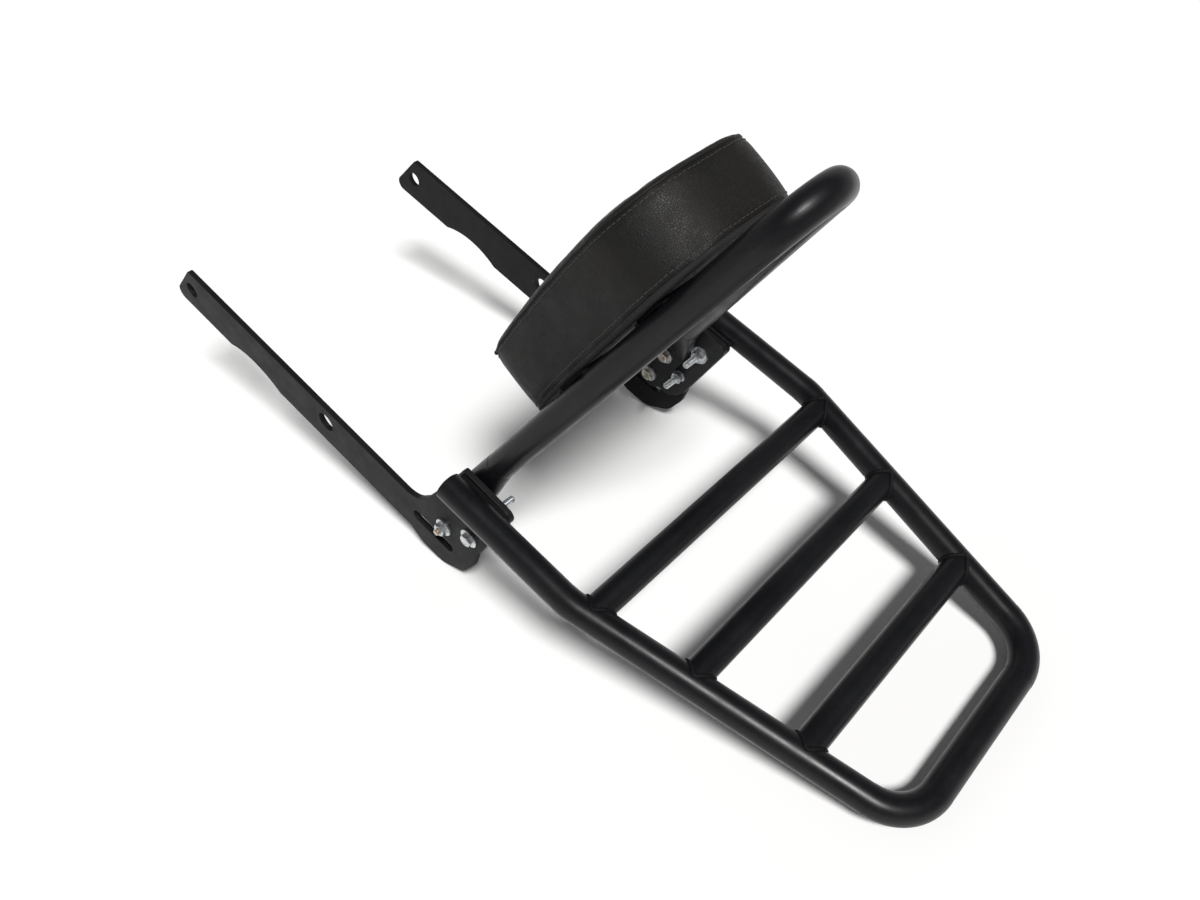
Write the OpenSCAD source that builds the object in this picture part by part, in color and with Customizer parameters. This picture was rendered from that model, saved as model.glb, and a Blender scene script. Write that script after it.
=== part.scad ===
// Backrest (sissy bar) with luggage rack for a motorbike: two flat side
// arms, a tube rack loop, a leaning hoop and a padded back cushion.
// Millimetres. X is across the bike (+X left), Y runs rearward, Z up and
// square to the rack. The origin is midway between the two front holes.

/* [Output] */
// Sub-part to draw, or all of them

/* [Side arms] */
// Distance between the outer faces of the two arm plates
arm_spread = 269; // [240:1:320]
// Thickness of the arm and hoop plates
plate_t = 5; // [3:0.5:8]
// Height of the top edge above the front hole
arm_top = 23.5; // [18:0.5:30]
// Depth of the bottom edge below the front hole
arm_bottom = 25; // [18:0.5:30]
// Diameter of the front hole
tip_hole_d = 15; // [8:0.5:20]
// Diameter of the middle hole
mid_hole_d = 18; // [8:0.5:22]
// Distance of the middle hole behind the front hole
mid_hole_y = 193.5; // [120:0.5:260]
// Height of the middle hole above the front hole
mid_hole_z = 3; // [-6:0.5:8]
// Width of the adjustment slot
slot_w = 12; // [8:0.5:16]
// Front end centre of the adjustment slot
slot_y0 = 314; // [300:1:330]
// Rear end centre of the adjustment slot
slot_y1 = 350; // [332:1:356]
// Middle of the shallow scallop in the bottom edge
scallop_y = 91; // [60:1:130]
// Half length of the scallop
scallop_half = 36; // [20:1:50]
// Depth of the scallop
scallop_depth = 8.5; // [4:0.5:12]

/* [Rack] */
// Outside diameter of all tubes
tube_d = 22.2; // [18:0.1:28]
// Wall thickness of all tubes
tube_wall = 2; // [1.5:0.1:3]
// Height of the rack tube axes above the front hole
rack_z = 109.2; // [90:0.1:130]
// Front end of the rack side tubes
rack_front = 355; // [345:1:380]
// Start of the inward taper of the rack
taper_y = 477.5; // [450:0.5:500]
// Inward taper angle of the rack sides
taper = 12; // [4:0.5:20]
// Radius of the small bend where the taper starts
taper_r = 60; // [40:1:100]
// Axis of the rear tube of the rack
rack_rear = 736.4; // [700:0.1:780]
// Centreline radius of the rear corners
corner_r = 40; // [34:0.5:60]
// Axis of the front cross bar
bar1_y = 493.4; // [480:0.1:510]
// Axis of the middle cross bar
bar2_y = 571.9; // [550:0.1:590]
// Axis of the rear cross bar
bar3_y = 655.6; // [630:0.1:670]

/* [Hoop] */
// Lean of the hoop plane, rearward from square to the rack
lean = 19.2; // [10:0.1:30]
// Hoop plane position at the height of the rack axes
hoop_y = 365.5; // [355:0.1:375]
// Half width of the hoop just above the plates
hoop_half = 107.9; // [90:0.1:118]
// Inward slope of each hoop leg
leg_slope = 16; // [8:0.1:24]
// Centreline radius of the top bend
apex_r = 35; // [30:0.5:60]
// Thickness of the flattened leg ends
flat_t = 5; // [4:0.5:6]
// Width of the flattened leg ends
flat_w = 31; // [24:0.5:34]

/* [Fasteners] */
// Thread diameter of the bolts
bolt_d = 6; // [5:1:8]
// Across flats of heads and nuts
hex_af = 10; // [8:0.5:13]
// Washer outside diameter
washer_d = 17; // [12:0.5:20]
// Washer thickness
washer_t = 1.6; // [1:0.1:2]
// Diameter of the bolt holes in the plates
bolt_hole_d = 6.4; // [6.2:0.1:7]

/* [Pad] */
// Half width of the cushion along its lower edge
pad_half_low = 93; // [70:1:110]
// Half width of the cushion along its upper edge
pad_half_high = 65; // [50:1:90]
// Lower end of the cushion, up the hoop plane from the rack axes
pad_low = 24; // [15:1:60]
// Upper end of the cushion, up the hoop plane from the rack axes
pad_high = 254; // [220:1:290]
// Radius of the lower corners of the cushion
pad_r_low = 46; // [20:1:60]
// Radius of the upper corners of the cushion
pad_r_high = 58; // [20:1:62]
// Distance from the hoop plane to the rear face of the pad board
pad_back = 14.1; // [13:0.1:25]
// Thickness of the pad board
board_t = 6; // [4:0.5:10]
// Thickness of the cushion side in front of the board
cushion_t = 45; // [30:1:60]
// Height of the domed front face above the cushion side
crown = 6; // [2:0.5:10]
// Piping diameter
piping_d = 4; // [3:0.5:6]

/* [Hidden] */
$fn = 64;
e = 0.01;
xo = arm_spread / 2;          // outer face of an arm plate
xi = xo - plate_t;            // inner face of an arm plate
xh = xi - plate_t;            // inner face of a hoop plate
xf = xh - flat_t;             // inner face of a flattened leg end
tr = tube_d / 2;
ti = tr - tube_wall;
xr = xo + tr;                 // rack side tube axis
lu = [0, sin(lean), cos(lean)];       // up the hoop plane
ln = [0, -cos(lean), sin(lean)];      // forward, square to the hoop
// plate bolts (a, b) and leg bolts (c, d), as [y, z]
pa = [381.8, 83];
pb = [371.6, 43.2];
pc = [353, 58.4];
pd = [344, 23.6];
leg_dir = atan2(pc[0] - pd[0], pc[1] - pd[1]);   // slope of the leg end
hex_r = hex_af / 2 / cos(30);
// taper geometry of the rack
tl = taper_r * tan(taper / 2);
x_of = function (y) xr - (y - taper_y) * tan(taper);
xc = x_of(rack_rear);
cl = corner_r * tan((90 - taper) / 2);

// ---- helpers -------------------------------------------------------------
function unit(v) = v / norm(v);
function wrap(P, i) = P[(i + len(P)) % len(P)];
function turn(P, i) = let (a = P[i] - wrap(P, i - 1), b = wrap(P, i + 1) - P[i])
  a[0] * b[1] - a[1] * b[0];
function half_ang(P, i) = let (a = unit(wrap(P, i - 1) - P[i]),
  b = unit(wrap(P, i + 1) - P[i])) acos(a * b) / 2;
function tan_len(P, R, i) = R[i] / tan(half_ang(P, i));
function arc_mid(P, R, i) = P[i] + unit(unit(wrap(P, i - 1) - P[i]) +
  unit(wrap(P, i + 1) - P[i])) * R[i] / sin(half_ang(P, i));

// Outline with true arcs at its corners, points counter-clockwise. Each arc
// stands 0.02 proud, so that it crosses its edges instead of just touching.
module rounded(P, R) {
  difference() {
    union() {
      polygon([for (i = [0 : len(P) - 1]) each (R[i] > 0 ?
        [P[i] + unit(wrap(P, i - 1) - P[i]) * tan_len(P, R, i),
         P[i] + unit(wrap(P, i + 1) - P[i]) * tan_len(P, R, i)] : [P[i]])]);
      for (i = [0 : len(P) - 1])
        if (R[i] > 0 && turn(P, i) > 0)
          translate(arc_mid(P, R, i)) circle(R[i] + 0.02);
    }
    for (i = [0 : len(P) - 1])
      if (R[i] > 0 && turn(P, i) < 0)
        translate(arc_mid(P, R, i)) circle(R[i] + 0.02);
  }
}

// A [y, z] outline raised along +X from x0 by t.
module side_plate(x0, t) {
  translate([x0, 0, 0]) rotate([90, 0, 90]) linear_extrude(t) children();
}

// A round bar or bore along X between two x values.
module xcyl(x0, x1, y, z, d) {
  translate([x0, y, z]) rotate([0, 90, 0]) cylinder(h = x1 - x0, d = d);
}

// Straight bar between two points.
module rod(a, b, d) {
  v = b - a;
  l = norm(v);
  translate(a)
    rotate([0, acos(v[2] / l), atan2(v[1], v[0])])
      cylinder(h = l, d = d);
}

// Straight bar along Y, reaching a little into the bends beside it;
// children start at its far end.
module go(l, r, a = 0.4, b = 0.4) {
  translate([0, -a, 0]) rotate([-90, 0, 0]) cylinder(h = l + a + b, r = r);
  translate([0, l, 0]) children();
}

// Bend that turns towards -X; children start at its far end.
module bend(rb, a, r) {
  translate([-rb, 0, 0]) {
    rotate_extrude(angle = a, $fn = 96) translate([rb, 0]) circle(r + 0.15);
    rotate([0, 0, a]) translate([rb, 0, 0]) children();
  }
}

// Places children in the hoop plane: x across, y up the plane,
// z forward and square to it.
module on_hoop() {
  translate([0, hoop_y, rack_z]) rotate([90 - lean, 0, 0]) children();
}

module mirrored() { mirror([1, 0, 0]) children(); }

// ---- side arms -----------------------------------------------------------
// Outline of an arm as [y, z]: bottom edge, lobe, rear edge, top edge at the
// rack, raked front edge, valley and long top edge.
arm_pts = [[-30, -arm_bottom], [306, -arm_bottom], [320, -33],
  [347, -33], [371.5, -15], [380.5, 8], [381.5, 27], [404, rack_z - 1.5],
  [351.5, rack_z - 1.5], [322, 40], [308, 21], [-1, arm_top]];
arm_rad = [8, 15, 14, 22, 22, 20, 10, 7, 4, 20, 24, 4];

module arm_outline() {
  sr = (scallop_half * scallop_half + scallop_depth * scallop_depth)
    / (2 * scallop_depth);
  difference() {
    rounded(arm_pts, arm_rad);
    translate([scallop_y, -arm_bottom - sr + scallop_depth]) circle(sr, $fn = 180);
  }
}

module arm_plate() {
  difference() {
    side_plate(xi, plate_t) arm_outline();
    xcyl(xi - 1, xo + 1, 0, 0, tip_hole_d);
    xcyl(xi - 1, xo + 1, mid_hole_y, mid_hole_z, mid_hole_d);
    xcyl(xi - 1, xo + 1, slot_y0, 0, slot_w);
    xcyl(xi - 1, xo + 1, slot_y1, 0, slot_w);
    translate([xi - 1, slot_y0, -slot_w / 2])
      cube([plate_t + 2, slot_y1 - slot_y0, slot_w]);
    for (p = [pa, pb, pd]) xcyl(xi - 1, xo + 1, p[0], p[1], bolt_hole_d);
  }
}

module arm_plate_left() { color([0.16, 0.16, 0.17]) arm_plate(); }
module arm_plate_right() { color([0.16, 0.16, 0.17]) mirrored() arm_plate(); }

// Inner plate clamped between the arm plate and the hoop leg.
hp_pts = [[334, 9], [366, 9], [375, 16], [381.3, 26], [404, rack_z - 1.5],
  [351, rack_z + 1.5], [327, 48], [325, 22]];
hp_rad = [8, 8, 0, 10, 7, 3, 6, 10];

module hoop_plate() {
  difference() {
    side_plate(xh, plate_t) rounded(hp_pts, hp_rad);
    for (p = [pa, pb, pd]) xcyl(xh - 1, xi + 1, p[0], p[1], bolt_hole_d);
    xcyl(xh - 1, xi + 1, pc[0], pc[1], bolt_d + 0.1);   // tapped
  }
}

module hoop_plate_left() { color([0.1, 0.1, 0.11]) hoop_plate(); }
module hoop_plate_right() { color([0.1, 0.1, 0.11]) mirrored() hoop_plate(); }

// ---- rack ----------------------------------------------------------------
// One bent tube, drawn as a run of straights and bends from the front end
// of the left side round to the front end of the right side.
module loop_run(r, out) {
  l1 = taper_y - tl - rack_front;
  l2 = norm([xc + cl * sin(taper), rack_rear - cl * cos(taper)] -
    [xr - tl * sin(taper), taper_y + tl * cos(taper)]);
  translate([xr, rack_front, rack_z])
    go(l1, r, a = out) bend(taper_r, taper, r) go(l2, r)
      bend(corner_r, 90 - taper, r) go(2 * (xc - cl), r)
        bend(corner_r, 90 - taper, r) go(l2, r)
          bend(taper_r, taper, r) go(l1, r, b = out);
}

module rack_loop_tube() {
  color([0.1, 0.1, 0.11]) difference() { loop_run(tr, 0); loop_run(ti, 1); }
}

// Straight run of the tapering side, used to cope the cross bar ends. The
// front bar sits just behind the bend.
module side_solid() {
  rod([x_of(taper_y - 40) , taper_y - 40, rack_z],
    [xc + cl * sin(taper), rack_rear - cl * cos(taper), rack_z], tube_d);
}

module cross_bar(y) {
  h = x_of(y);
  difference() {
    xcyl(-h, h, y, rack_z, tube_d - 0.3);   // a hair under the side tubes
    xcyl(-h - 1, h + 1, y, rack_z, 2 * ti);
    side_solid();
    mirrored() side_solid();
  }
}

module cross_bar_front() { color([0.1, 0.1, 0.11]) cross_bar(bar1_y); }
module cross_bar_middle() { color([0.1, 0.1, 0.11]) cross_bar(bar2_y); }
module cross_bar_rear() { color([0.1, 0.1, 0.11]) cross_bar(bar3_y); }

// Flat caps closing the front ends of the side tubes.
module rack_end_caps() {
  color([0.1, 0.1, 0.11])
    for (s = [-1, 1])
      translate([s * xr, rack_front, rack_z]) rotate([90, 0, 0]) {
        cylinder(h = 2, d = tube_d);
        translate([0, 0, -8]) cylinder(h = 8 + e, r = ti - 0.1);
      }
}

// ---- hoop ----------------------------------------------------------------
// Hoop tube in plane coordinates [x, up]; one half, mirrored for the other.
s_tube = 8;                                    // round tube starts here
x_at = function (s) hoop_half - (s - 15) * tan(leg_slope);
s_mid = 15 + (hoop_half - apex_r / cos(leg_slope)) / tan(leg_slope);
arc_p = [apex_r * cos(leg_slope), s_mid + apex_r * sin(leg_slope)];
// middle of the flattened end, and the line of its centre
flat_x = (xf + xh) / 2;

// The round run of the hoop, from one leg over the top to the other.
module hoop_round(s0, r, out) {
  l = norm([x_at(s0), s0] - arc_p);
  on_hoop() translate([x_at(s0), s0, 0]) rotate([0, 0, leg_slope])
    go(l, r, a = out) bend(apex_r, 180 - 2 * leg_slope, r)
      go(l, r, b = out);
}

// Flattened end in the [y, z] plane, running from above bolt c to below d.
module leg_flat_shape() {
  translate(pd) rotate(-leg_dir) {
    translate([-flat_w / 2, 0]) square([flat_w, flat_top]);
    intersection() {
      circle(d = flat_w);
      translate([-flat_w / 2, -13.5]) square([flat_w, 20]);
    }
  }
}
flat_top = 52;

// Round to flat transition of a leg.
module leg_taper() {
  hull() {
    on_hoop() translate([x_at(s_tube), s_tube, 0])
      rotate([-90, 0, leg_slope]) cylinder(h = 1.2, d = tube_d + 0.4, $fn = 60);
    side_plate(xf + 0.15, flat_t - 0.3)
      translate(pd) rotate(-leg_dir)
        translate([-flat_w / 2 + 0.2, flat_top - 3]) square([flat_w - 0.4, 3]);
  }
}

module leg_end() {
  difference() {
    side_plate(xf, flat_t) leg_flat_shape();
    for (p = [pc, pd]) xcyl(xf - 1, xh + 1, p[0], p[1], bolt_hole_d);
  }
  leg_taper();
}

module backrest_hoop() {
  color([0.1, 0.1, 0.11]) {
    difference() {
      hoop_round(s_tube + 0.5, tr, 0);
      hoop_round(s_tube + 0.5, ti, 1);
    }
    leg_end();
    mirrored() leg_end();
  }
}

// ---- fasteners -----------------------------------------------------------
// Hexagon bar along X from x0 to x1.
module hexbar(x0, x1, p, af) {
  translate([x0, p[0], p[1]]) rotate([0, 90, 0])
    cylinder(h = x1 - x0, r = af / 2 / cos(30), $fn = 6);
}

// Hexagon head or nut with its corners turned away at one face.
module hex_turned(x0, x1, p, af, out) {
  intersection() {
    hexbar(x0, x1, p, af);
    translate([out > 0 ? x0 : x1, p[0], p[1]]) rotate([0, out > 0 ? 90 : -90, 0])
      union() {
        cylinder(h = x1 - x0 - 0.8, r = af);
        translate([0, 0, x1 - x0 - 0.8 - e])
          cylinder(h = 0.8 + 2 * e, r1 = af / 2 / cos(30), r2 = af / 2 * 0.96);
      }
  }
}

// Plate bolts: head outside, thread standing well inside.
module plate_bolts() {
  for (p = [pa, pb]) {
    hex_turned(xo + washer_t, xo + washer_t + 4, p, hex_af, 1);
    xcyl(xh - 21, xo + washer_t + e, p[0], p[1], bolt_d);
  }
}

// Leg bolts: head inside on the flattened leg. The lower one goes through
// to a nut outside, the upper one ends in the tapped hoop plate.
module leg_bolts() {
  for (p = [pc, pd]) {
    hex_turned(xf - washer_t - 4, xf - washer_t, p, hex_af, -1);
    xcyl(xf - washer_t - e, p == pc ? xi - 0.3 : xo + washer_t + 8,
      p[0], p[1], bolt_d);
  }
}

module ring(x0, t, p, d, bore) {
  difference() {
    xcyl(x0, x0 + t, p[0], p[1], d);
    xcyl(x0 - 1, x0 + t + 1, p[0], p[1], bore);
  }
}

module plate_washers() {
  for (p = [pa, pb]) {
    ring(xo, washer_t, p, washer_d, bolt_hole_d);
    ring(xh - washer_t, washer_t, p, p == pa ? washer_d : 12, bolt_hole_d);
  }
}

module leg_washers() {
  for (p = [pc, pd]) ring(xf - washer_t, washer_t, p, washer_d - 1, bolt_hole_d);
  ring(xo, washer_t, pd, washer_d - 1, bolt_hole_d);
}

module nut(x0, x1, p, out) {
  difference() {
    hex_turned(x0, x1, p, hex_af, out);
    xcyl(x0 - 1, x1 + 1, p[0], p[1], bolt_d);
  }
}

module plate_nuts() {
  for (p = [pa, pb]) nut(xh - washer_t - 5, xh - washer_t, p, -1);
}

module leg_nuts() {
  nut(xo + washer_t, xo + washer_t + 5, pd, 1);
}

zinc = [0.78, 0.79, 0.8];
module plate_bolts_left() { color(zinc) plate_bolts(); }
module plate_bolts_right() { color(zinc) mirrored() plate_bolts(); }
module leg_bolts_left() { color(zinc) leg_bolts(); }
module leg_bolts_right() { color(zinc) mirrored() leg_bolts(); }
module plate_washers_left() { color(zinc) plate_washers(); }
module plate_washers_right() { color(zinc) mirrored() plate_washers(); }
module leg_washers_left() { color(zinc) leg_washers(); }
module leg_washers_right() { color(zinc) mirrored() leg_washers(); }
module plate_nuts_left() { color(zinc) plate_nuts(); }
module plate_nuts_right() { color(zinc) mirrored() plate_nuts(); }
module leg_nuts_left() { color(zinc) leg_nuts(); }
module leg_nuts_right() { color(zinc) mirrored() leg_nuts(); }

// ---- pad mounting --------------------------------------------------------
// Straps across the hoop legs, their front face against the pad board.
strap_t = pad_back - tr;
strap_h = 24;
su = pad_high - 62;            // height of the upper strap
sl = pad_low + 88;             // height of the lower strap
screw_x = 22;                  // half spacing of the pad screws

module strap(s) {
  w = x_at(s) + 4;
  on_hoop() difference() {
    translate([-w, s - strap_h / 2, tr]) cube([2 * w, strap_h, strap_t]);
    for (k = [-1, 1])
      translate([k * screw_x, s, tr - 1]) cylinder(h = strap_t + 2, d = 6.5);
  }
}

module strap_screws(s) {
  on_hoop() for (k = [-1, 1]) translate([k * screw_x, s, 0]) {
    translate([0, 0, tr - 1.2 - 4]) cylinder(h = 4, r = hex_r, $fn = 6);
    translate([0, 0, tr - 1.2 - e]) cylinder(h = 1.2 + strap_t + board_t + 3 + e, d = 5);
  }
}

module pad_strap_upper() { color([0.1, 0.1, 0.11]) strap(su); }
module pad_strap_lower() { color([0.1, 0.1, 0.11]) strap(sl); }
module strap_screws_upper() { color(zinc) strap_screws(su); }
module strap_screws_lower() { color(zinc) strap_screws(sl); }

module strap_washers() {
  color(zinc) on_hoop() for (s = [su, sl], k = [-1, 1])
    translate([k * screw_x, s, tr - 1.2]) difference() {
      cylinder(h = 1.2, d = 14);
      translate([0, 0, -1]) cylinder(h = 4, d = 5.3);
    }
}

// Flanged inserts pressed into the front of the board.
module tee_nuts() {
  color(zinc) on_hoop() for (s = [su, sl], k = [-1, 1])
    translate([k * screw_x, s, pad_back]) difference() {
      union() {
        translate([0, 0, 1]) cylinder(h = board_t - 1, d = 8);
        translate([0, 0, board_t]) cylinder(h = 1.2, d = 18);
      }
      translate([0, 0, -1]) cylinder(h = board_t + 4, d = 5);
    }
}

// ---- pad -----------------------------------------------------------------
pad_pts = [[-pad_half_low, pad_low], [pad_half_low, pad_low],
  [pad_half_high, pad_high], [-pad_half_high, pad_high]];
pad_rad = [pad_r_low, pad_r_low, pad_r_high, pad_r_high];
function inset(P, d) = [for (i = [0 : len(P) - 1]) P[i] +
  unit(unit(wrap(P, i - 1) - P[i]) + unit(wrap(P, i + 1) - P[i])) * d
  / sin(half_ang(P, i))];
function less(R, d) = [for (r = R) r - d];
side_top = pad_back + board_t + cushion_t;   // top of the cushion side
board_in = 6;
cord_in = 1;
cord_front = side_top;
cord_rear = pad_back + 2;

module pad_outline(d) { rounded(inset(pad_pts, d), less(pad_rad, d)); }

module pad_board() {
  color([0.35, 0.26, 0.17]) on_hoop() difference() {
    translate([0, 0, pad_back]) linear_extrude(board_t) pad_outline(board_in);
    for (s = [su, sl], k = [-1, 1]) translate([k * screw_x, s, pad_back - 1])
      cylinder(h = board_t + 2, d = 8);
  }
}

// Round cord along the outline; straights reach a little into the bends.
module cord(P, R, d) {
  for (i = [0 : len(P) - 1]) {
    a = P[i] + unit(wrap(P, i - 1) - P[i]) * tan_len(P, R, i);
    b = P[i] + unit(wrap(P, i + 1) - P[i]) * tan_len(P, R, i);
    c = arc_mid(P, R, i);
    j = (i + 1) % len(P);
    n = P[j] + unit(P[i] - P[j]) * tan_len(P, R, j);
    translate([c[0], c[1], 0])
      rotate([0, 0, atan2(a[1] - c[1], a[0] - c[0])])
        rotate_extrude(angle = 180 - 2 * half_ang(P, i), $fn = 96)
          translate([R[i], 0]) circle(d = d + 0.16, $fn = 24);
    u = unit(n - b) * 0.3;
    rod([b[0] - u[0], b[1] - u[1], 0], [n[0] + u[0], n[1] + u[1], 0], d);
  }
}

module pad_cord(z) {
  translate([0, 0, z])
    cord(inset(pad_pts, cord_in), less(pad_rad, cord_in), piping_d);
}

module pad_piping_front() { color([0.06, 0.06, 0.06]) on_hoop() pad_cord(cord_front); }
module pad_piping_rear() { color([0.06, 0.06, 0.06]) on_hoop() pad_cord(cord_rear); }

// Groove that a cord lies in.
module cord_groove(z) {
  g = piping_d / 2 + 0.1;
  translate([0, 0, z - g]) linear_extrude(2 * g) difference() {
    pad_outline(-3);
    pad_outline(cord_in + g);
  }
}

// Domed front of the cushion as nested steps, rising from inside it.
module pad_dome() {
  for (k = [[3, 0.42], [6, 0.6], [12, 0.78], [22, 0.9], [36, 1]])
    linear_extrude(4 + crown * k[1]) rounded(inset(pad_pts, k[0]),
      [for (r = pad_rad) max(4, r - k[0])]);
}

// Foam and cover: upright sides and a domed front face, with room for the
// board, the insert flanges and the two cords.
module pad_cushion() {
  color([0.07, 0.07, 0.07]) on_hoop() difference() {
    union() {
      translate([0, 0, pad_back + 0.5])
        linear_extrude(side_top - pad_back - 0.5) pad_outline(0);
      translate([0, 0, side_top - 4]) pad_dome();
    }
    translate([0, 0, pad_back]) linear_extrude(board_t) pad_outline(board_in);
    for (s = [su, sl], k = [-1, 1]) translate([k * screw_x, s, pad_back]) {
      cylinder(h = board_t + 1.2, d = 18);
      cylinder(h = board_t + 4, d = 6);
    }
    cord_groove(cord_front);
    cord_groove(cord_rear);
  }
}

// ---- output --------------------------------------------------------------
arm_plate_left();
arm_plate_right();
hoop_plate_left();
hoop_plate_right();
rack_loop_tube();
cross_bar_front();
cross_bar_middle();
cross_bar_rear();
rack_end_caps();
backrest_hoop();
plate_bolts_left();
plate_bolts_right();
leg_bolts_left();
leg_bolts_right();
plate_washers_left();
plate_washers_right();
leg_washers_left();
leg_washers_right();
plate_nuts_left();
plate_nuts_right();
leg_nuts_left();
leg_nuts_right();
pad_strap_upper();
pad_strap_lower();
strap_screws_upper();
strap_screws_lower();
strap_washers();
tee_nuts();
pad_board();
pad_piping_front();
pad_piping_rear();
pad_cushion();
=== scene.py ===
import bpy, bmesh, math, random
from mathutils import Vector, Matrix


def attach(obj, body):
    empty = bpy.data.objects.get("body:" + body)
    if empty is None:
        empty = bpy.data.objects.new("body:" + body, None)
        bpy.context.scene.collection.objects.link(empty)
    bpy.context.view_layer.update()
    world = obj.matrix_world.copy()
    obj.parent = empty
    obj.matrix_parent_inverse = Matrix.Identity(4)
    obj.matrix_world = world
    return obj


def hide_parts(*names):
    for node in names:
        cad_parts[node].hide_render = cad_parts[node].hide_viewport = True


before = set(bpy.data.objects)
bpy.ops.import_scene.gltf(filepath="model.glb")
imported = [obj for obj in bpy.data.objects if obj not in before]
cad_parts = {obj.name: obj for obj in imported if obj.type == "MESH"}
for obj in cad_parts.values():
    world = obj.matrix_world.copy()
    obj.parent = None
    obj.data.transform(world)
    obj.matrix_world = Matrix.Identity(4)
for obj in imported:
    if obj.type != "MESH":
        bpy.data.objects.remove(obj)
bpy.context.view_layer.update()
MM = 0.001
random.seed(7)

# ---------------------------------------------------------------- numbers
XO, XI, XH, XF = 134.5, 129.5, 124.5, 119.5      # plate and leg faces
TR = 11.1                                        # tube radius
XR = XO + TR
RACK_Z = 109.2
TAPER = math.radians(12)
TAPER_Y, REAR_Y = 477.5, 736.4
BARS = (493.4, 571.9, 655.6)
LEAN = math.radians(19.2)
HOOP_Y = 365.5
PA, PB, PC, PD = (381.8, 83), (371.6, 43.2), (353, 58.4), (344, 23.6)
PAD_BACK, BOARD_T, CUSHION_T, CROWN = 14.1, 6.0, 45.0, 6.0
PAD_LOW, PAD_HIGH = 26.5, 249.5
PAD_HW = (91.3, 65.4)
STRAPS = (192.0, 112.0)
PAD_R = (46.0, 58.0)
SIDE_TOP = PAD_BACK + BOARD_T + CUSHION_T
U = Vector((0, math.sin(LEAN), math.cos(LEAN)))      # up the hoop plane
N = Vector((0, -math.cos(LEAN), math.sin(LEAN)))     # forward of it
O = Vector((0, HOOP_Y, RACK_Z))


def hoop_pt(x, s, d):
    """A point of the hoop plane in metres."""
    return (O + Vector((x, 0, 0)) + U * s + N * d) * MM


def pad_pt(x, s, d):
    """The same for the pad, whose filling is a little fuller half way up and
    whose lower edge reaches back between the hoop legs."""
    q = min(1.0, max(0.0, (s - PAD_LOW) / (PAD_HIGH - PAD_LOW)))
    front = -2.5 * (1 - q) + 4.5 * math.sin(math.pi * q)
    back = -6.0 * max(0.0, 1 - q / 0.32) ** 1.3
    k = (d - PAD_BACK) / (SIDE_TOP - PAD_BACK)
    return hoop_pt(x, s, d + back + (front - back) * k)


# ---------------------------------------------------------------- camera
cam_data = bpy.data.cameras.new("photo_camera")
cam = bpy.data.objects.new("photo_camera", cam_data)
bpy.context.scene.collection.objects.link(cam)
R = Vector((-0.6742973, 0.7142351, 0.1875933))
D = Vector((0.5273888, 0.6435832, -0.5546727))
F = Vector((-0.5168986, -0.2750797, -0.8106460))
cam.matrix_world = Matrix(((R.x, -D.x, -F.x, 0.42305), (R.y, -D.y, -F.y, 0.60928),
                           (R.z, -D.z, -F.z, 0.71646), (0, 0, 0, 1)))
cam_data.sensor_width = 36.0
cam_data.sensor_fit = "HORIZONTAL"
cam_data.lens = 36.0 * 976.878 / 1200.0
cam_data.clip_start, cam_data.clip_end = 0.02, 60.0
bpy.context.scene.camera = cam


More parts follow.
